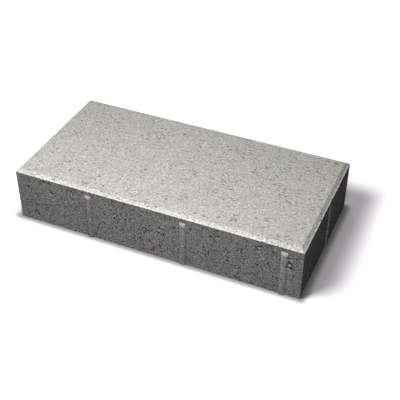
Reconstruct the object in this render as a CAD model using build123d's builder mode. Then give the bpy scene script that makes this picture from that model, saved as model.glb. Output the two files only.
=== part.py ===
# Concrete paving stone: one pressed block with a chamfered wearing face. Low upright ribs on
# its four sides hold the neighbouring stones off, so that the joints of the paving stay open.
# Millimetres. X runs along the stone, Z is up, the origin is the middle of the bed face.
import os

from build123d import *

# Block
LENGTH = 398.0
WIDTH = 198.0
THICKNESS = 78.0

# Chamfer round the wearing face
CHAMFER_RUN = 5.5  # across the wearing face
CHAMFER_DROP = 3.3  # down the sides

# Spacer ribs
RIB_PROUD = 2.0  # out of the side, which makes it the width of a joint
RIB_FOOT = 9.0  # width against the side
RIB_CREST = 7.0  # width at the front
RIB_EDGE_RADIUS = 0.6  # along both edges of the crest
RIB_TOP_GAP = 9.0  # from the wearing face down to the head of a rib
RIB_HEAD = 4.5  # height over which the head slopes back to the side

# Places of the ribs
LONG_SIDE_RIBS = 3  # on each long side, spread evenly over the laying grid
LONG_SIDE_INSET = 24.0  # from the end of the stone to the middle of the nearest rib
SHORT_SIDE_SHIFT = 10.0  # of a short side's one rib, from the middle of that side

rib_height = THICKNESS - RIB_TOP_GAP
laying_grid = LENGTH + RIB_PROUD
rib_pitch = laying_grid / LONG_SIDE_RIBS

# Front side and right side. The back and the left are these two turned by half a turn, so a
# rib always meets the plain side of the next stone and never another rib.
front_ribs = [
    Location((LENGTH / 2 - LONG_SIDE_INSET - i * rib_pitch, -WIDTH / 2, 0))
    for i in range(LONG_SIDE_RIBS)
]
right_rib = Location((LENGTH / 2, SHORT_SIDE_SHIFT, 0), (0, 0, 90))

# One rib, standing out towards -Y from a side at Y = 0: its plan section drawn up to the full
# height, kept only where the side view with the sloped head covers it.
with BuildPart() as rib:
    with BuildSketch() as plan_section:
        with BuildLine():
            Polyline(
                (-RIB_FOOT / 2, 0),
                (-RIB_CREST / 2, -RIB_PROUD),
                (RIB_CREST / 2, -RIB_PROUD),
                (RIB_FOOT / 2, 0),
                close=True,
            )
        make_face()
        crest_corners = plan_section.vertices().group_by(Axis.Y)[0]
        fillet(crest_corners, RIB_EDGE_RADIUS)
    extrude(amount=rib_height)
    with BuildSketch(Plane.YZ):
        with BuildLine():
            Polyline(
                (0, 0),
                (-RIB_PROUD, 0),
                (-RIB_PROUD, rib_height - RIB_HEAD),
                (0, rib_height),
                close=True,
            )
        make_face()
    extrude(amount=RIB_FOOT / 2, both=True, mode=Mode.INTERSECT)

with BuildPart() as paving_stone:
    with BuildSketch():
        Rectangle(LENGTH, WIDTH)
    extrude(amount=THICKNESS)
    wearing_face = paving_stone.faces().sort_by(Axis.Z)[-1]
    chamfer(wearing_face.edges(), CHAMFER_RUN, CHAMFER_DROP, reference=wearing_face)
    with PolarLocations(0, 2):
        with Locations(*front_ribs, right_rib):
            add(rib.part)

paving_stone.part.label = "paving_stone"
os.makedirs("parts", exist_ok=True)
export_step(paving_stone.part, "parts/paving_stone.step")
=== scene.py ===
# %% [markdown]
# Lesson: a paving stone of pressed concrete.
# A press stamps damp concrete into a steel mould and lifts the mould off at once. That leaves
# a flat wearing face with a narrow chamfer, rough sides with open pores, and upright ribs
# that keep the joints open between laid stones.
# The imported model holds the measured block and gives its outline. What stamping and handling
# add is made in Blender: grain, worn arrises, pores, and the stone's two greys.

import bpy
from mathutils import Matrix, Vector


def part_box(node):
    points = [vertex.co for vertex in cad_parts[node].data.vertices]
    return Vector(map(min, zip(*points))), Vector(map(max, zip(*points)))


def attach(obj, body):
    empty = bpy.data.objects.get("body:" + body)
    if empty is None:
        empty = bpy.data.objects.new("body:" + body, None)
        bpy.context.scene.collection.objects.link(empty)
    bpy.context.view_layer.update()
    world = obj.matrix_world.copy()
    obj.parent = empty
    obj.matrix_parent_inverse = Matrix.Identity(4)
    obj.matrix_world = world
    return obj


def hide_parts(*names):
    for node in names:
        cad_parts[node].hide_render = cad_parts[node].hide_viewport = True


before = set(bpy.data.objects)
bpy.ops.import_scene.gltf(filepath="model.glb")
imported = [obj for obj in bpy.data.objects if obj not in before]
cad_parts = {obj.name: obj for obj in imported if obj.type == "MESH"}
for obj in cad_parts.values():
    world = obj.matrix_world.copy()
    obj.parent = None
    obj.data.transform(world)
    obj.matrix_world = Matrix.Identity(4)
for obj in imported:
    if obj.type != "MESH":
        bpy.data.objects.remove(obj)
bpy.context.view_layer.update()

# %% [markdown]
# Sizes come first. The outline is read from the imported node, and the few sizes that a box
# can't tell, such as the chamfer and the ribs, are named once. Typing in every corner would
# work too, but then one changed size would mean changing many numbers. NEARLY is how close to
# a line a point has to lie to count as on it.

# %% Sizes of the block, the chamfer and the ribs
MM = 0.001
CHAMFER_RUN = 5.5 * MM
CHAMFER_DROP = 3.3 * MM
RIB_PROUD = 2.0 * MM
RIB_FOOT = 9.0 * MM
RIB_CREST = 7.0 * MM
RIB_TOP_GAP = 9.0 * MM
RIB_HEAD = 4.5 * MM
NEARLY = 0.2 * MM

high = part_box("paving_stone")[1]
half_length = high.x - RIB_PROUD
half_width = high.y - RIB_PROUD
thickness = high.z
shoulder = thickness - CHAMFER_DROP
rib_top = thickness - RIB_TOP_GAP
print("block: %.0f x %.0f x %.0f mm" % (2 * half_length / MM, 2 * half_width / MM, thickness / MM))

# %% [markdown]
# The ribs stand where a rib never meets another one: those on the back and on the left are
# the ribs of the front and of the right after half a turn. So one loop places both halves,
# and each rib is kept as the point at its foot and the direction in which it stands out.

# %% Places of the ribs
from mathutils import Vector

LONG_SIDE_RIBS = 3
LONG_SIDE_INSET = 24.0 * MM
SHORT_SIDE_SHIFT = 10.0 * MM

rib_pitch = (2 * half_length + RIB_PROUD) / LONG_SIDE_RIBS
ribs = []
for turn in (1, -1):
    for i in range(LONG_SIDE_RIBS):
        along = half_length - LONG_SIDE_INSET - i * rib_pitch
        ribs.append((Vector((turn * along, -turn * half_width, 0)), Vector((0, -turn, 0))))
    ribs.append((Vector((turn * half_length, turn * SHORT_SIDE_SHIFT, 0)), Vector((turn, 0, 0))))
print("ribs:", len(ribs), "with a pitch of %.1f mm on the long sides" % (rib_pitch / MM))

# %% [markdown]
# The block starts as a cube as high as the lower edge of the chamfer. Its top face is inset
# and lifted in one step, which leaves the chamfer and the wearing face. A bevel would do this
# too, but it makes both legs of a chamfer equal, and on this stone they differ.

# %% Block with its chamfer
import bmesh

bm = bmesh.new()
bmesh.ops.create_cube(bm, size=1)
bmesh.ops.scale(bm, vec=(2 * half_length, 2 * half_width, shoulder), verts=bm.verts)
bmesh.ops.translate(bm, vec=(0, 0, shoulder / 2), verts=bm.verts)


def faces_by_height():
    return sorted(bm.faces, key=lambda face: face.calc_center_median().z)


top = faces_by_height()[-1]
bmesh.ops.inset_region(
    bm, faces=[top], thickness=CHAMFER_RUN, depth=CHAMFER_DROP, use_even_offset=True
)
bmesh.ops.delete(bm, geom=[faces_by_height()[0]], context="FACES_ONLY")
print("block:", len(bm.verts), "corners,", len(bm.faces), "faces, bed still open")

# %% [markdown]
# Each rib is a strip of its side, pulled out. Separate strips stuck to the block would be
# quicker, but pressed concrete is one piece, and a strip of the same mesh has no seam at its
# foot. Cuts right through the block mark the strips, so every face stays four-sided.


# %% Cuts along the ribs
def cut_through(point, normal):
    everything = bm.verts[:] + bm.edges[:] + bm.faces[:]
    bmesh.ops.bisect_plane(bm, geom=everything, plane_co=point, plane_no=normal)


def side_direction(out):
    return Vector((abs(out.y), abs(out.x), 0))


cut_through((0, 0, rib_top), (0, 0, 1))
for foot, out in ribs:
    for step in (-RIB_FOOT / 2, RIB_FOOT / 2):
        cut_through(foot + side_direction(out) * step, side_direction(out))
print("after the cuts:", len(bm.faces), "faces")

# %% Ribs pulled out of the sides
from mathutils import Matrix


def pull_rib(foot, out):
    bm.normal_update()
    middle = foot + Vector((0, 0, rib_top / 2))
    strip = min(bm.faces, key=lambda face: (face.calc_center_median() - middle).length)
    crest = bmesh.ops.extrude_discrete_faces(bm, faces=[strip])["faces"][0].verts[:]
    bmesh.ops.translate(bm, vec=out * RIB_PROUD, verts=crest)
    narrow = Vector((1, 1, 1)) - side_direction(out) * (1 - RIB_CREST / RIB_FOOT)
    bmesh.ops.scale(bm, vec=narrow, space=Matrix.Translation(-foot), verts=crest)
    head = [vert for vert in crest if vert.co.z > rib_top / 2]
    bmesh.ops.translate(bm, vec=(0, 0, -RIB_HEAD), verts=head)


for foot, out in ribs:
    pull_rib(foot, out)
print("ribbed block:", len(bm.verts), "corners,", len(bm.faces), "faces")

# %% [markdown]
# Relief needs a fine and even net of faces. A remesh would give one, but it rounds off the
# ribs. Every patch here has four sides, so cutting all edges of one ring into the same number
# of steps keeps the net regular, with the edges of the ribs and the chamfer on its lines.

# %% Lines that the rings of edges lie between
NET_PITCH = 1.4 * MM

along_x = {-half_length, half_length}
along_y = {-half_width, half_width}
for foot, out in ribs:
    lines = along_x if out.y else along_y
    middle = foot.dot(side_direction(out))
    lines.update((middle - RIB_FOOT / 2, middle + RIB_FOOT / 2))
ring_axes = (
    (2, [0.0, rib_top, shoulder, thickness]),
    (0, sorted(along_x)),
    (1, sorted(along_y)),
)
print("lines across x, y:", len(along_x), len(along_y))

# %% Fine net over the sides and the wearing face
FLANK_CUTS = 2
FEWEST_STEPS = 2


def rings(axis, lines):
    def nearest_line(vert):
        return min(range(len(lines)), key=lambda i: abs(lines[i] - vert.co[axis]))

    found = {}
    for edge in bm.edges:
        i, j = sorted(nearest_line(vert) for vert in edge.verts)
        if i != j:
            found.setdefault((i, j), []).append(edge)
    return found.values()


in_a_ring = set()
for axis, lines in ring_axes:
    for edges in rings(axis, lines):
        in_a_ring.update(edges)
flanks = [edge for edge in bm.edges if edge not in in_a_ring]
bmesh.ops.subdivide_edges(bm, edges=flanks, cuts=FLANK_CUTS, use_grid_fill=True)
for axis, lines in ring_axes:
    for edges in rings(axis, lines):
        longest = max(edge.calc_length() for edge in edges)
        steps = max(FEWEST_STEPS, round(longest / NET_PITCH))
        bmesh.ops.subdivide_edges(bm, edges=edges, cuts=steps - 1, use_grid_fill=True)
print("net:", len(bm.verts), "points,", len(bm.faces), "faces")

# %% [markdown]
# The stamp that presses the chamfer needs some metal at its rim, so the chamfer doesn't run
# out to the side: it ends on a narrow flat ledge. An inset of its own could make the ledge,
# but the net already has a line of points close to there, and lowering those is simpler.

# %% Ledge at the foot of the chamfer
LEDGE = 1.1 * MM

lowered = [vert for vert in bm.verts if shoulder + NEARLY < vert.co.z < thickness - NEARLY]
for vert in lowered:
    run = CHAMFER_RUN * (vert.co.z - shoulder) / CHAMFER_DROP
    vert.co.z = shoulder + CHAMFER_DROP * max(0.0, run - LEDGE) / (CHAMFER_RUN - LEDGE)
print("points lowered for the ledge:", len(lowered))

# %% [markdown]
# The bed face is hidden once the stone is laid. One large face would close the block, but it
# shades badly, so the bed gets a coarse grid of its own, and four bridges join that grid to
# the fine lower edge of the sides.

# %% Bed face
BED_PITCH = 8 * MM
BED_BAND = 6 * MM

open_edge = [edge for edge in bm.edges if edge.is_boundary]
before_grid = set(open_edge)
bed_size = (2 * (half_length - BED_BAND), 2 * (half_width - BED_BAND))
grid = bmesh.ops.create_grid(
    bm,
    x_segments=round(bed_size[0] / BED_PITCH),
    y_segments=round(bed_size[1] / BED_PITCH),
    size=0.5,
)
bmesh.ops.scale(bm, vec=(bed_size[0], bed_size[1], 1), verts=grid["verts"])
grid_edge = [edge for edge in bm.edges if edge.is_boundary and edge not in before_grid]


def on_line(edges, axis, value):
    def touches(vert):
        return abs(vert.co[axis] - value) < NEARLY

    return [edge for edge in edges if all(touches(vert) for vert in edge.verts)]


for axis, half in ((0, half_length), (1, half_width)):
    for sign in (-1, 1):
        outer = on_line(open_edge, axis, sign * half)
        inner = on_line(grid_edge, axis, sign * (half - BED_BAND))
        bmesh.ops.bridge_loops(bm, edges=outer + inner)
bmesh.ops.recalc_face_normals(bm, faces=bm.faces)
loose = [edge for edge in bm.edges if not edge.is_manifold]
print("closed stone:", len(bm.faces), "faces,", len(loose), "open edges")

# %% [markdown]
# Arrises are the outer edges of a stone. Smooth shading would blur them, so every edge that
# turns by more than 20 degrees is marked sharp. A bevel would show them too, but it would add
# many faces. Points on edges that turn outwards are remembered, because those wear.

# %% Arrises
import math

SHARP_TURN = math.radians(20)

bm.verts.index_update()
arris_points = set()
sharp = [edge for edge in bm.edges if edge.calc_face_angle(0) > SHARP_TURN]
for edge in sharp:
    edge.smooth = False
    if edge.is_convex:
        arris_points.update(vert.index for vert in edge.verts)
print("sharp edges:", len(sharp), "with", len(arris_points), "points on arrises")

# %% [markdown]
# From here on the points of the net only sink, never rise, so the stone stays inside its
# measured box. A displacement modifier could do part of this, but one list of depths lets
# every kind of relief add its share: grain, waves, worn arrises and pores.

# %% Points, their directions and the depth list
bm.verts.ensure_lookup_table()
bm.normal_update()
home = [vert.co.copy() for vert in bm.verts]
outward = [vert.normal.copy() for vert in bm.verts]
arris = [i in arris_points for i in range(len(home))]
depth = [0.0] * len(home)

on_face = [point.z > shoulder - NEARLY for point in home]
on_bed = [point.z < NEARLY for point in home]
on_side = [not (face or bed) for face, bed in zip(on_face, on_bed)]
print("points on face, sides, bed:", sum(on_face), sum(on_side), sum(on_bed))

# %% [markdown]
# Pressed concrete is never quite flat. Sand stands up a little on the wearing face, the wall
# of the mould leaves the sides flatter between their pores, and the ribs, which fill worst,
# are lumpy. Noise read at each point's place gives soft lumps, and a second, wide one a slight
# wave. Moving points by hand would give the same, but never for a whole stone.

# %% Grain and waves
from mathutils import noise

FACE_GRAIN = 0.16 * MM
SIDE_GRAIN = 0.06 * MM
RIB_GRAIN = 0.30 * MM
GRAIN_SIZE = 2.6 * MM
RIB_GRAIN_SIZE = 4.5 * MM
WAVE = 0.10 * MM
WAVE_SIZE = 35 * MM


def swell(point, size):
    return 0.5 + 0.5 * noise.noise(point / size)


def on_rib(point):
    return abs(point.x) > half_length + NEARLY or abs(point.y) > half_width + NEARLY


for i, point in enumerate(home):
    grain = FACE_GRAIN if on_face[i] else SIDE_GRAIN
    depth[i] += grain * swell(point, GRAIN_SIZE) + WAVE * swell(point, WAVE_SIZE)
    if on_rib(point):
        depth[i] += RIB_GRAIN * swell(point, RIB_GRAIN_SIZE)
print("mean depth after grain: %.3f mm" % (sum(depth) / len(depth) / MM))

# %% [markdown]
# Arrises crumble first. A bevel would take off the same everywhere, so the arris points sink
# by an uneven amount instead, and where a second noise is high, a small chip is gone.

# %% Worn arrises
WEAR = 0.14 * MM
WEAR_SIZE = 7 * MM
CHIP = 0.5 * MM
CHIP_SIZE = 16 * MM
CHIP_ABOVE = 0.75
RIB_WEAR = 0.3 * MM

for i, point in enumerate(home):
    if arris[i]:
        worn = WEAR * swell(point, WEAR_SIZE)
        chip = CHIP * max(0.0, swell(point, CHIP_SIZE) - CHIP_ABOVE) / (1 - CHIP_ABOVE)
        depth[i] += worn + chip + (RIB_WEAR if on_rib(point) else 0.0)
print("arris points:", sum(arris), "deepest %.2f mm" % (max(depth) / MM))

# %% [markdown]
# Pores are where gravel left a gap against the mould. Cutting each one out would tear the
# net, so a pore is an uneven oval dent: a point's distance from its middle is measured in a
# turned and squeezed frame and roughened a little. A search tree finds the points near by.

# %% One pore
from mathutils import kdtree

PORE_SEARCH = 1.4
PORE_UNEVEN = 0.35
PORE_UNEVEN_SIZE = 1.5 * MM
PORE_STEEP = 1.5

near = kdtree.KDTree(len(home))
for i, point in enumerate(home):
    near.insert(point, i)
near.balance()
pore = [0.0] * len(home)


def press_pore(middle, out, radius, deep, squeeze, turn):
    first = out.orthogonal().normalized()
    second = out.cross(first)
    long_way = first * math.cos(turn) + second * math.sin(turn)
    short_way = out.cross(long_way)
    for point, i, _ in near.find_range(middle, radius * PORE_SEARCH):
        away = point - middle
        reach = math.hypot(away.dot(long_way), away.dot(short_way) / squeeze)
        reach *= 1 + PORE_UNEVEN * noise.noise(point / PORE_UNEVEN_SIZE)
        hollow = min(1.0, max(0.0, PORE_STEEP - PORE_STEEP * (reach / radius) ** 2))
        depth[i] += deep * hollow
        pore[i] = max(pore[i], hollow)


print("points to press pores into:", len(home))

# %% [markdown]
# Here and there on the front a pebble lies bare, with a crevice round it. The largest one is
# beside a rib, with two pores above it, and more large pores stand out elsewhere. These few
# are listed one by one, in millimetres along and up, because one recognises this stone by them.
# A pore's place along the stone also sets how it is turned, so that they don't lie in rows.

# %% Pebbles and larger pores of the front
PEBBLE_SEARCH = 2
PEBBLE_UNEVEN = 0.3
PEBBLE_UNEVEN_SIZE = 2 * MM
CREVICE_WIDTH = 0.44
CREVICE_DEPTH = 0.60
CREVICE_LEAST = 0.3
CREVICE_SWING = 1.4
CREVICE_SWING_SIZE = 3 * MM
PEBBLES = (
    (182, 48.5, 3.4),
    (163, 55, 2.3),
    (155, 37, 2.3),
    (143, 62, 3.0),
    (130, 14, 2.2),
    (123, 51, 2.3),
    (115, 21, 2.6),
    (19, 65, 2.1),
    (-1, 38, 2.3),
    (-7, 36, 2.6),
    (-4, 19, 2.2),
    (-53, 48, 2.3),
)
LARGE_PORES = (
    (182, 53.5, 2.8),
    (181, 60, 2.3),
    (115, 4, 3.4),
    (103, 27, 2.9),
    (104, 33, 2.5),
    (90, 62, 2.2),
    (80, 58, 2.5),
    (52, 60, 2.0),
    (10, 48, 2.6),
    (10, 18, 2.5),
    (0, 8, 2.5),
    (-10, 41, 2.0),
    (-115, 54, 2.3),
    (-131, 20, 2.4),
    (-146, 54, 3.2),
    (-158, 69, 2.6),
    (-172, 12, 2.9),
    (-183, 54, 2.7),
)
LARGE_PORE_DEPTH = 0.6
LARGE_PORE_SQUEEZE = 0.75
RIM_PORES = (-119, -74, -63, -54, -31, -25, -12, 4, 56, 139, 152)
RIM_PORE_RADIUS = 1.7 * MM
RIM_PORE_DEPTH = 1.3 * MM
RIM_PORE_SQUEEZE = 0.8
front = Vector((0, -1, 0))
up_and_front = Vector((0, -1, 1)).normalized()


def front_place(along, up):
    return Vector((along * MM, -half_width, up * MM))


def press_pebble(middle, radius):
    for point, i, _ in near.find_range(middle, PEBBLE_SEARCH * radius):
        reach = (point - middle).length
        reach *= 1 + PEBBLE_UNEVEN * noise.noise(point / PEBBLE_UNEVEN_SIZE)
        crevice = max(0.0, 1 - ((reach / radius - 1) / CREVICE_WIDTH) ** 2)
        crevice *= min(1.0, CREVICE_LEAST + CREVICE_SWING * swell(point, CREVICE_SWING_SIZE))
        depth[i] += CREVICE_DEPTH * radius * crevice
        pore[i] = max(pore[i], crevice)


for along, up, radius in PEBBLES:
    press_pebble(front_place(along, up), radius * MM)
for along, up, radius in LARGE_PORES:
    deep = LARGE_PORE_DEPTH * radius * MM
    press_pore(front_place(along, up), front, radius * MM, deep, LARGE_PORE_SQUEEZE, along)
for along in RIM_PORES:
    rim_place = Vector((along * MM, CHAMFER_RUN - half_width, thickness))
    press_pore(
        rim_place, up_and_front, RIM_PORE_RADIUS, RIM_PORE_DEPTH, RIM_PORE_SQUEEZE, along
    )
print("pebbles:", len(PEBBLES), "and pores placed by hand:", len(LARGE_PORES) + len(RIM_PORES))

# %% [markdown]
# The other pores are strewn by chance, but from a fixed seed, so that each run gives the same
# stone. Most are small, because a chance number to the third power is rarely near one. The
# sides get the widest, the face smaller ones, and the upper rim of the chamfer a few breaks.
# None on the sides starts at a rib or near the corner pebble, where it would spoil the shape.

# %% Strewn pores
import random

SEED = 4
RARELY_WIDE = 3
PORE_DEPTHS = (0.4, 0.8)
PORE_SQUEEZES = (0.5, 0.9)

dice = random.Random(SEED)


def scatter_pores(count, allowed, smallest, largest):
    places = [i for i, ok in enumerate(allowed) if ok]
    for _ in range(count):
        i = dice.choice(places)
        radius = smallest + (largest - smallest) * dice.random() ** RARELY_WIDE
        deep = radius * dice.uniform(*PORE_DEPTHS)
        squeeze = dice.uniform(*PORE_SQUEEZES)
        turn = dice.uniform(0, math.pi)
        press_pore(home[i], outward[i], radius, deep, squeeze, turn)


def beside_rib(point):
    for foot, out in ribs:
        away = point - foot
        if abs(away.dot(side_direction(out))) < RIB_FOOT and abs(away.dot(out)) < 2 * RIB_PROUD:
            return True
    return False


print("seed of the strewn pores:", SEED)

# %% Where the strewn pores lie
SIDE_PORES = 240
SIDE_PORE_RADII = (1.2 * MM, 2.6 * MM)
FACE_PORES = 300
FACE_PORE_RADII = (1.0 * MM, 1.8 * MM)
RIM_BREAKS = 40
RIM_BREAK_RADII = (1.0 * MM, 1.6 * MM)
CORNER_PEBBLE_CLEARANCE = 17 * MM

corner_pebble = front_place(*PEBBLES[0][:2])
open_side = [
    side and not beside_rib(point) and (point - corner_pebble).length > CORNER_PEBBLE_CLEARANCE
    for side, point in zip(on_side, home)
]
on_rim = [rim and abs(point.z - thickness) < NEARLY for rim, point in zip(arris, home)]
scatter_pores(SIDE_PORES, open_side, *SIDE_PORE_RADII)
scatter_pores(FACE_PORES, on_face, *FACE_PORE_RADII)
scatter_pores(RIM_BREAKS, on_rim, *RIM_BREAK_RADII)
print("points in pores:", sum(value > 0 for value in pore))

# %% [markdown]
# Now every point sinks along its own direction by the depth that has added up. The mesh then
# becomes an object that stands for the imported node: it rides on the same body and takes its
# place in the picture.

# %% Sink the points and write the mesh
import bpy

for i, vert in enumerate(bm.verts):
    vert.co = home[i] - outward[i] * depth[i]
for facet in bm.faces:
    facet.smooth = True
mesh = bpy.data.meshes.new("pressed_stone")
bm.to_mesh(mesh)
bm.free()
stone = bpy.data.objects.new("pressed_stone", mesh)
bpy.context.scene.collection.objects.link(stone)
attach(stone, "root")
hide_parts("paving_stone")
print("pressed stone:", sum(len(face.vertices) - 2 for face in mesh.polygons), "triangles")

# %% [markdown]
# The material has to know where pores, rubbed places, and painted light and shade are. A
# picture could tell it, but a number stored at each point is simpler and moves with the mesh.
# Stones rub on each other at the ribs: most at the heads, less along the crests and towards
# the bed. Light is painted on the flanks, where they face away from the lamp, and beside a
# rib's right foot, over the shadow the rib casts; painted shade lies along the left foot and
# flank and, on one rib, along the left edge of the crest. The ribs differ, so most values here
# are rows: the ribs of a long side, counted from its right-hand end, and then the rib of a
# short side. Bare pebbles get a little of the same grey.

# %% What is rubbed, painted lighter and painted in shade on a rib
HEAD_RUB = (0.92, 0.79, 0.70, 0.60)
CREST_RUB = (0.22, 0.16, 0.11, 0.15)
# Painted light: flanks that face away from the lamp, and the strip beside a right foot that the
# rib shades, are made paler.
RIGHT_FLANK_PAINTED_LIGHT = (1.0, 0.50, 0.25, 0.30)
RIGHT_FOOT_PAINTED_LIGHT = (0.11, 0.04, 0.0, 0.0)
LEFT_FLANK_PAINTED_LIGHT = (0.0, 0.0, 0.0, 0.42)
# Painted shade: darker along the left foot and flank, and along the left edge of one crest.
LEFT_FOOT_PAINTED_SHADE = (0.55, 0.70, 0.85, 0.0)
FLANK_SHADE_SHARE = 0.3
CREST_EDGE_PAINTED_SHADE = (0.0, 0.0, 0.60, 0.0)
CREST_EDGE = 2 * MM
RUB_AT_BED = 0.4
RUB_RISE = 0.8
RUB_LEAST = 0.6
RUB_SWING = 0.8
RUB_SWING_SIZE = 4 * MM


def wear_painted_light_and_shade(point, k):
    foot, out = ribs[k]
    kind = k % len(HEAD_RUB)
    aside = (point - foot).dot(Vector((0, 0, 1)).cross(out))
    if point.z > rib_top - RIB_HEAD + NEARLY:
        return (HEAD_RUB[kind] if on_rib(point) else 0.0), 0.0
    rub_and_light, painted_shade = 0.0, 0.0
    if (point - foot).dot(out) > RIB_PROUD - NEARLY:
        rub_and_light = CREST_RUB[kind]
        painted_shade = CREST_EDGE_PAINTED_SHADE[kind] if aside < -CREST_EDGE else 0.0
    # Painted light on the flank facing away from the lamp, and beside the right foot.
    elif aside > 0:
        rub_and_light = RIGHT_FLANK_PAINTED_LIGHT[kind] if on_rib(point) else RIGHT_FOOT_PAINTED_LIGHT[kind]
    # Painted shade along the left foot and, more weakly, on the left flank.
    elif aside > -RIB_FOOT / 2 - NEARLY:
        rub_and_light = LEFT_FLANK_PAINTED_LIGHT[kind] if on_rib(point) else 0.0
        painted_shade = LEFT_FOOT_PAINTED_SHADE[kind] * (FLANK_SHADE_SHARE if on_rib(point) else 1.0)
    rising = RUB_AT_BED + RUB_RISE * point.z / rib_top
    patchy = RUB_LEAST + RUB_SWING * swell(point, RUB_SWING_SIZE)
    return rub_and_light * rising * patchy, painted_shade


print("kinds of ribs:", len(HEAD_RUB))

# %% Marks of every point, written into the mesh
PEBBLE_RUB = 0.35


def nearest_rib(point):
    return min(range(len(ribs)), key=lambda k: (ribs[k][0] - point).xy.length)


rub_and_painted_light = [0.0] * len(home)
for i, point in enumerate(home):
    # Painted light goes into the rub mark, painted shade into the pore mark.
    if on_side[i] and beside_rib(point):
        rub_and_painted_light[i], painted_shade = wear_painted_light_and_shade(point, nearest_rib(point))
        pore[i] = max(pore[i], painted_shade)
for along, up, radius in PEBBLES:
    bare = radius * (1 - CREVICE_WIDTH / 2) * MM
    for _, i, _ in near.find_range(front_place(along, up), bare):
        rub_and_painted_light[i] = PEBBLE_RUB


def write_mark(name, values):
    mark = mesh.attributes.new(name, "FLOAT", "POINT")
    mark.data.foreach_set("value", values)


write_mark("pore", pore)
write_mark("rub_and_painted_light", rub_and_painted_light)
print("rubbed points:", sum(value > 0.5 for value in rub_and_painted_light))

# %% [markdown]
# Shader nodes are wired by many near-equal lines. A small class with a word for each common
# step keeps the materials readable: a node, a sum, a soft ramp, a blend and a scaled colour.
# A Mix node has sockets for every kind of value. Those for two colours are 6 and 7, and those
# for two numbers 2 and 3.


# %% Short words for shader nodes
class Shading:
    def __init__(self, name):
        self.material = bpy.data.materials.new(name)
        self.material.use_nodes = True
        self.tree = self.material.node_tree
        self.tree.nodes.clear()

    def node(self, kind, inputs=(), **settings):
        made = self.tree.nodes.new("ShaderNode" + kind)
        for name, value in settings.items():
            setattr(made, name, value)
        for name, value in dict(inputs).items():
            if isinstance(value, bpy.types.NodeSocket):
                self.tree.links.new(value, made.inputs[name])
            else:
                made.inputs[name].default_value = value
        return made

    def math(self, operation, first, second=0.0):
        return self.node("Math", {0: first, 1: second}, operation=operation).outputs[0]

    def vector(self, operation, first, second=(0, 0, 0)):
        made = self.node("VectorMath", {0: first, 1: second}, operation=operation)
        return made.outputs["Value" if operation in ("LENGTH", "DOT_PRODUCT") else "Vector"]

    def scale(self, colour, factor):
        scaled = self.node("VectorMath", {0: colour, "Scale": factor}, operation="SCALE")
        return scaled.outputs["Vector"]

    def ramp(self, value, start, stop, low=0.0, high=1.0):
        limits = {"From Min": start, "From Max": stop, "To Min": low, "To Max": high}
        made = self.node("MapRange", {"Value": value, **limits}, interpolation_type="SMOOTHSTEP")
        return made.outputs["Result"]

    def blend(self, factor, first, second):
        return self.node("Mix", {0: factor, 6: first, 7: second}, data_type="RGBA").outputs[2]

    def blend_numbers(self, factor, first, second):
        return self.node("Mix", {0: factor, 2: first, 3: second}).outputs[0]

    def finish(self, surface):
        self.node("OutputMaterial", {"Surface": surface})
        return self.material


concrete = Shading("pressed_concrete")
print("material started:", concrete.material.name)

# %% [markdown]
# Concrete is sand and cement seen close up, and stains and patches seen from afar. One noise
# can't be both, so several patterns of their own sizes are mixed: soft clouds, and grains
# with a tone each. All of them read the object's own coordinates in metres, so a size in
# millimetres is the size on the stone.

# %% Patterns that the whole stone shares
SAND_SIZE = 2.0 * MM
BLOTCH_SIZE = 40 * MM
PATCH_SIZE = 14 * MM
DUST_SIZE = 1.15 * MM

place = concrete.node("TexCoord").outputs["Object"]
height = concrete.node("SeparateXYZ", {"Vector": place}).outputs["Z"]


def clouds(size, detail=2.0, roughness=0.5, source=place, output="Fac"):
    shape = {"Vector": source, "Scale": 1 / size, "Detail": detail, "Roughness": roughness}
    return concrete.node("TexNoise", shape).outputs[output]


def grains(size, source=place):
    made = concrete.node("TexVoronoi", {"Vector": source, "Scale": 1 / size})
    chance = concrete.node("SeparateColor", {"Color": made.outputs["Color"]}).outputs[0]
    return made.outputs["Distance"], chance


def mixture(parts, start=0.0, middle=0.0):
    total = start
    for value, strength in parts:
        share = concrete.math("MULTIPLY", concrete.math("SUBTRACT", value, middle), strength)
        total = concrete.math("ADD", total, share)
    return total


def tone(parts):
    return mixture(parts, start=1.0, middle=0.5)


def shade(value, mask, factor):
    return concrete.math("MULTIPLY", value, concrete.ramp(mask, 0.0, 1.0, 1.0, factor))


sand = clouds(SAND_SIZE, detail=3.0, roughness=0.65)
blotches = clouds(BLOTCH_SIZE)
patches = clouds(PATCH_SIZE)
dust = grains(DUST_SIZE)[1]
print("shared patterns: sand, blotches, patches, dust")

# %% [markdown]
# The wearing face is the pale one: fine sand, a few bright grains, and many small gaps that
# the stamp drew out along the stone, darkened with painted shade. The chamfer is the same
# surface, only a little paler, and a painted highlight runs along its lower arris.

# %% Wearing face
FACE_COLOUR = (0.52, 0.513, 0.479)
FACE_GAP_SIZE = 2.7 * MM
DRAWN_OUT = (0.48, 1.0, 1.0)
CROWDING = 0.5
FACE_GAP_RANGE = (0.64, 0.73)
BRIGHT_GRAIN_RANGE = (0.975, 0.995)
UPPER_ARRIS = (thickness - 0.9 * MM, thickness - 0.3 * MM)
LOWER_ARRIS = (shoulder + 0.2 * MM, shoulder + 1.0 * MM)
FACE_GAP_PAINTED_SHADE = 0.62
BRIGHT_GRAIN_SHADE = 1.4
CHAMFER_SHADE = 1.06
LOWER_ARRIS_PAINTED_HIGHLIGHT = 1.15

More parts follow.
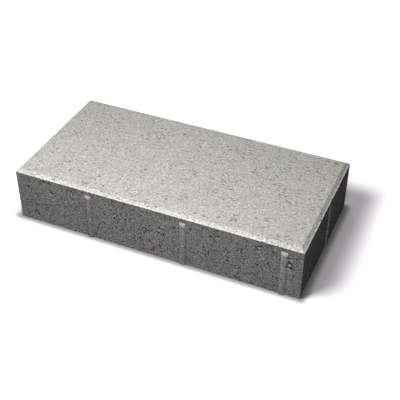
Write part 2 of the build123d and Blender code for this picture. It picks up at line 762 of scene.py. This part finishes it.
drawn_out = concrete.node("Mapping", {"Vector": place, "Scale": DRAWN_OUT}).outputs["Vector"]
crowded = mixture([(patches, CROWDING)], middle=0.5)
face_gap = concrete.math("ADD", clouds(FACE_GAP_SIZE, detail=1.5, source=drawn_out), crowded)
face_gap = concrete.ramp(face_gap, *FACE_GAP_RANGE)
bright_grain = concrete.ramp(dust, *BRIGHT_GRAIN_RANGE)
chamfered = concrete.ramp(height, *UPPER_ARRIS, 1.0, 0.0)
painted_arris_highlight = concrete.ramp(height, *LOWER_ARRIS, 1.0, 0.0)

face_tone = tone([(sand, 0.95), (dust, 0.54), (blotches, 0.20), (patches, 0.12)])
# Painted shade: the small gaps of the face are darkened.
face_tone = shade(face_tone, face_gap, FACE_GAP_PAINTED_SHADE)
face_tone = shade(face_tone, bright_grain, BRIGHT_GRAIN_SHADE)
face_tone = shade(face_tone, chamfered, CHAMFER_SHADE)
# Painted highlight: a pale line along the lower arris of the chamfer.
face_tone = shade(face_tone, painted_arris_highlight, LOWER_ARRIS_PAINTED_HIGHLIGHT)
face = concrete.scale(FACE_COLOUR, face_tone)
print("wearing face: gaps, bright grains, chamfer and arris over", FACE_COLOUR)

# %% [markdown]
# The sides are darker and coarser. Each grain has its own tone, a few are pale, and here and
# there a grain has fallen out and left a pit, darkened with painted shade. Grains come from a
# Voronoi texture: its random colour picks some, and its distance gives each picked one a round
# shape. A noise that shifts the coordinates makes the round shapes crooked, as real pits are.

# %% Patterns of the sides
GRIT_SIZE = 0.65 * MM
PIT_SIZE = 2.3 * MM
PIT_EDGE = (0.36, 0.58)
PIT_SHIFT = 1.2 * MM
PIT_SHIFT_SIZE = 1.3 * MM
PIT_CROWDING = 0.45
PIT_RANGE = (0.945, 0.96)
PALE_GRAIN_RANGE = (0.05, 0.03)

grit = grains(GRIT_SIZE)[1]
shift = concrete.scale(clouds(PIT_SHIFT_SIZE, detail=1.0, output="Color"), PIT_SHIFT)
pit_shape, pit_chance = grains(PIT_SIZE, concrete.vector("ADD", place, shift))
pit_shape = concrete.ramp(pit_shape, *PIT_EDGE, 1.0, 0.0)
crowding = concrete.math("ADD", pit_chance, concrete.math("MULTIPLY", crowded, PIT_CROWDING))
pit = concrete.math("MULTIPLY", pit_shape, concrete.ramp(crowding, *PIT_RANGE))
picked = concrete.ramp(pit_chance, *PALE_GRAIN_RANGE, 0.0, 1.0)
pale_grain = concrete.math("MULTIPLY", pit_shape, picked)
print("patterns of the sides: grit, pits and pale grains")

# %% Colour of the sides
SIDE_COLOUR = (0.184, 0.181, 0.170)
RUBBED_AND_LIT_COLOUR = (0.54, 0.535, 0.505)
PIT_PAINTED_SHADE = 0.06
PALE_GRAIN_SHADE = 1.7
UPPER_BAND = (shoulder - 14 * MM, shoulder)
UPPER_BAND_PAINTED_SHADE = 0.9

side_tone = tone([(grit, 1.9), (blotches, 0.10), (patches, 0.08)])
# Painted shade: each pit is darkened almost to black.
side_tone = shade(side_tone, pit, PIT_PAINTED_SHADE)
side_tone = shade(side_tone, pale_grain, PALE_GRAIN_SHADE)
# Painted shade: the sides darken towards the chamfer, against the stronger light of the soft box
# there.
painted_shade_under_chamfer = concrete.ramp(height, *UPPER_BAND, 1.0, UPPER_BAND_PAINTED_SHADE)
side_tone = concrete.math("MULTIPLY", side_tone, painted_shade_under_chamfer)
side = concrete.scale(SIDE_COLOUR, side_tone)
rub_and_light_mark = concrete.node("Attribute", attribute_name="rub_and_painted_light").outputs["Fac"]
# The rub mark blends the sides to a pale grey: wear on the heads, crests and bare pebbles, and
# painted light on the flanks and beside the right feet.
side = concrete.blend(rub_and_light_mark, side, concrete.scale(RUBBED_AND_LIT_COLOUR, tone([(grit, 0.7)])))
print("sides: grit, pits and pale grains over", SIDE_COLOUR)

# %% [markdown]
# The two greys meet just below the ledge at the foot of the chamfer, so height alone can tell
# them apart. Pores and crevices are darker, partly from the dirt they collect and partly from
# painted shade in the hollow; the pore mark also brings the painted shade beside the ribs. Bump
# carries what is finer than the net: sand, grit and pits. A matt stone hardly mirrors, so its
# specular level is low and its roughness high.

# %% The two greys joined, with roughness and bump
MEETING_OF_GREYS = (shoulder - 0.65 * MM, shoulder - 0.15 * MM)
PORE_RANGE = (0.2, 0.9)
DIRT_AND_PAINTED_SHADE = 0.38
SAND_RANGE = (0.3, 0.7)
ROUGHNESS = (0.82, 0.96)
SPECULAR = 0.03
BUMP_HEIGHT = 0.5 * MM
BUMP_STRENGTH = 0.9

facing = concrete.ramp(height, *MEETING_OF_GREYS)
pore_and_painted_shade_mark = concrete.node("Attribute", attribute_name="pore").outputs["Fac"]
colour = concrete.blend(facing, side, face)
# Dirt and painted shade: the pore mark darkens pores, crevices and the marked rib feet.
colour = concrete.scale(colour, concrete.ramp(pore_and_painted_shade_mark, *PORE_RANGE, 1.0, DIRT_AND_PAINTED_SHADE))
face_relief = mixture([(sand, 1.0), (dust, 0.25), (face_gap, -1.6)])
side_relief = mixture([(sand, 0.15), (grit, 0.4), (pit, -2.2), (pale_grain, 0.8)])
relief = concrete.blend_numbers(facing, side_relief, face_relief)
bumps = {"Height": relief, "Distance": BUMP_HEIGHT, "Strength": BUMP_STRENGTH}
surface = {
    "Base Color": colour,
    "Roughness": concrete.ramp(sand, *SAND_RANGE, *ROUGHNESS),
    "Specular IOR Level": SPECULAR,
    "Normal": concrete.node("Bump", bumps).outputs["Normal"],
}
shader = concrete.node("BsdfPrincipled", surface)
mesh.materials.append(concrete.finish(shader.outputs["BSDF"]))
print("concrete:", len(concrete.tree.nodes), "nodes")

# %% [markdown]
# The stone lies on white paper under a soft box, as in a catalogue. More light would also
# turn the paper white, but it would bleach the stone. So the paper is whitened only where
# the camera looks at it: its colour grows with the distance from the lamp as fast as the
# light fades, which leaves it even and keeps the stone's shadow. For light that bounces up
# to the stone, the floor is a plain grey.

# %% Floor
FLOOR_HALF = 4000 * MM

floor_bm = bmesh.new()
bmesh.ops.create_grid(floor_bm, x_segments=1, y_segments=1, size=FLOOR_HALF)
floor_mesh = bpy.data.meshes.new("floor")
floor_bm.to_mesh(floor_mesh)
floor_bm.free()
floor = bpy.data.objects.new("floor", floor_mesh)
bpy.context.scene.collection.objects.link(floor)
print("floor:", len(floor_mesh.polygons), "face")

# %% Paper that the lamp lights evenly
LAMP_PLACE = Vector((-150, -382, 685)) * MM
LAMP_AIM = Vector((190, 0, 78)) * MM
LEAST_AHEAD = 100 * MM

# Light fades with the square of its reach, and once more for the slant at either end.
FADING_POWER = 4.0

lamp_axis = (LAMP_AIM - LAMP_PLACE).normalized()
paper = Shading("white_paper")
spot = paper.node("TexCoord").outputs["Object"]
from_lamp = paper.vector("SUBTRACT", spot, LAMP_PLACE)
fading = paper.math("POWER", paper.vector("LENGTH", from_lamp), FADING_POWER)
ahead = paper.math("MAXIMUM", paper.vector("DOT_PRODUCT", from_lamp, lamp_axis), LEAST_AHEAD)
fading_at_origin = LAMP_PLACE.length ** FADING_POWER / -LAMP_PLACE.dot(lamp_axis)
whiter = paper.math("DIVIDE", paper.math("DIVIDE", fading, ahead), fading_at_origin)
print("paper under the stone is %.2f m from the lamp" % LAMP_PLACE.length)

# %% [markdown]
# Little light gets down to the paper close round the stone. Ambient occlusion would measure
# that, but it is noisy and weak at the corners. So the distance beyond the stone's foot is
# measured along and across, and the paper darkens softly where that distance is small.

# %% Shade round the foot
FOOT = (half_length, half_width, 0)
RIGHT_AND_BACK_SHADE = (13 * MM, 10 * MM, 1)
LEFT_AND_FRONT_SHADE = (17 * MM, 10 * MM, 1)
CONTACT_RANGE = (0.1, 1.05)
CONTACT_SHADE = 0.36


def beyond_foot(turn, width):
    beyond = paper.vector("SUBTRACT", paper.scale(spot, turn), FOOT)
    return paper.vector("DIVIDE", paper.vector("MAXIMUM", beyond), width)


right_and_back = beyond_foot(1, RIGHT_AND_BACK_SHADE)
left_and_front = beyond_foot(-1, LEFT_AND_FRONT_SHADE)
gap = paper.vector("LENGTH", paper.vector("ADD", right_and_back, left_and_front))
contact = paper.ramp(gap, *CONTACT_RANGE, CONTACT_SHADE, 1.0)
print("paper at the stone's foot keeps %.0f %% of its light" % (100 * CONTACT_SHADE))

# %% Finished paper
PAPER_COLOUR = (1.12, 1.085, 1.12)
PAPER_GLOW = 0.10
PLAIN_GREY = (0.15, 0.15, 0.15, 1)

near_stone = paper.scale(PAPER_COLOUR, contact)
lit = paper.node("BsdfDiffuse", {"Color": paper.scale(near_stone, whiter)}).outputs[0]
glowing = {"Color": paper.scale(near_stone, contact), "Strength": PAPER_GLOW}
glow = paper.node("Emission", glowing).outputs[0]
seen = paper.node("AddShader", {0: lit, 1: glow}).outputs[0]
plain = paper.node("BsdfDiffuse", {"Color": PLAIN_GREY}).outputs[0]
rays = paper.node("LightPath").outputs
looked_at = paper.math("MAXIMUM", rays["Is Camera Ray"], rays["Is Glossy Ray"])
looked_at = paper.math("MAXIMUM", looked_at, rays["Is Transmission Ray"])
either = paper.node("MixShader", {0: looked_at, 1: plain, 2: seen}).outputs[0]
floor_mesh.materials.append(paper.finish(either))
print("paper:", len(paper.tree.nodes), "nodes")

# %% [markdown]
# One soft box from the upper left makes the picture: bright face, dark sides, and a shadow to
# the right. A board from the front lifts the front, and one that stands on the floor behind
# the stone lifts the hidden sides, too low to touch the face. The power of an area lamp is
# worked out from the light it should give at the stone, where 1 shows a colour as written.

# %% Soft box and boards
SOFT_BOX_LIGHT = 0.775
SOFT_BOX_SIZE = 330 * MM
FRONT_BOARD_LIGHT = 0.30
FRONT_BOARD_SIZE = 150 * MM
FRONT_BOARD_PLACE = Vector((300, -900, 300)) * MM
BACK_BOARD_LIGHT = 0.45
BACK_BOARD_SIZE = 80 * MM
BACK_BOARD_PLACE = Vector((-600, 800, 40)) * MM


def add_lamp(name, location, aim, size, light, slant=1.0):
    data = bpy.data.lights.new(name, "AREA")
    beam = aim - location
    data.energy = light * (math.pi * beam.length) ** 2 / slant
    data.size = size
    lamp = bpy.data.objects.new(name, data)
    lamp.location = location
    lamp.rotation_euler = beam.to_track_quat("-Z", "Y").to_euler()
    bpy.context.scene.collection.objects.link(lamp)
    print("%s: %.1f W" % (name, data.energy))


stone_middle = Vector((0, 0, thickness / 2))
front_middle = Vector((0, -half_width, thickness / 2))
add_lamp("soft_box", LAMP_PLACE, LAMP_AIM, SOFT_BOX_SIZE, SOFT_BOX_LIGHT, -lamp_axis.z)
add_lamp("front_board", FRONT_BOARD_PLACE, front_middle, FRONT_BOARD_SIZE, FRONT_BOARD_LIGHT)
add_lamp("back_board", BACK_BOARD_PLACE, stone_middle, BACK_BOARD_SIZE, BACK_BOARD_LIGHT)

# %% [markdown]
# The room gives a weak even light from all sides. The camera sees it as plain white, and so
# would a mirror or glass, which the Light Path node tells apart from the light on the stone.

# %% Room
ROOM_LIGHT = 0.07
WHITE = (1, 1, 1, 1)

world = bpy.data.worlds.new("studio")
world.use_nodes = True
sky = world.node_tree
room = sky.nodes["Background"]
room.inputs["Color"].default_value = WHITE
room.inputs["Strength"].default_value = ROOM_LIGHT
white = sky.nodes.new("ShaderNodeBackground")
white.inputs["Color"].default_value = WHITE
paths = sky.nodes.new("ShaderNodeLightPath")
last = room
for ray in ("Is Camera Ray", "Is Glossy Ray", "Is Transmission Ray"):
    either = sky.nodes.new("ShaderNodeMixShader")
    sky.links.new(paths.outputs[ray], either.inputs[0])
    sky.links.new(last.outputs[0], either.inputs[1])
    sky.links.new(white.outputs[0], either.inputs[2])
    last = either
sky.links.new(last.outputs[0], sky.nodes["World Output"].inputs["Surface"])
bpy.context.scene.world = world
bpy.context.scene.view_settings.view_transform = "Standard"
print("room light:", ROOM_LIGHT)

# %% [markdown]
# The camera stands where the photographer stood. Its angles, distance and focal length were
# measured once from the stone's edges in the picture. They are written as angles and lengths,
# because those can be read and changed, which a finished matrix can't.

# %% Camera
AZIMUTH = math.radians(23.247)
ELEVATION = math.radians(38.183)
ROLL = math.radians(0.511)
DISTANCE = 1136.77 * MM
AIM_RIGHT = 21.14 * MM
AIM_UP = 15.58 * MM
FOCAL_PIXELS = 821.2
IMAGE_PIXELS = 400

turned = Matrix.Rotation(AZIMUTH, 3, "Z") @ Matrix.Rotation(math.pi / 2 - ELEVATION, 3, "X")
axes = turned @ Matrix.Rotation(ROLL, 3, "Z")
camera_data = bpy.data.cameras.new("camera")
camera_data.lens = camera_data.sensor_width * FOCAL_PIXELS / IMAGE_PIXELS
camera = bpy.data.objects.new("camera", camera_data)
stand = axes @ Vector((AIM_RIGHT, AIM_UP, DISTANCE))
camera.matrix_world = Matrix.Translation(stand) @ axes.to_4x4()
bpy.context.scene.collection.objects.link(camera)
bpy.context.scene.camera = camera
print("camera: %.1f mm lens at" % camera_data.lens, [round(value, 3) for value in stand])
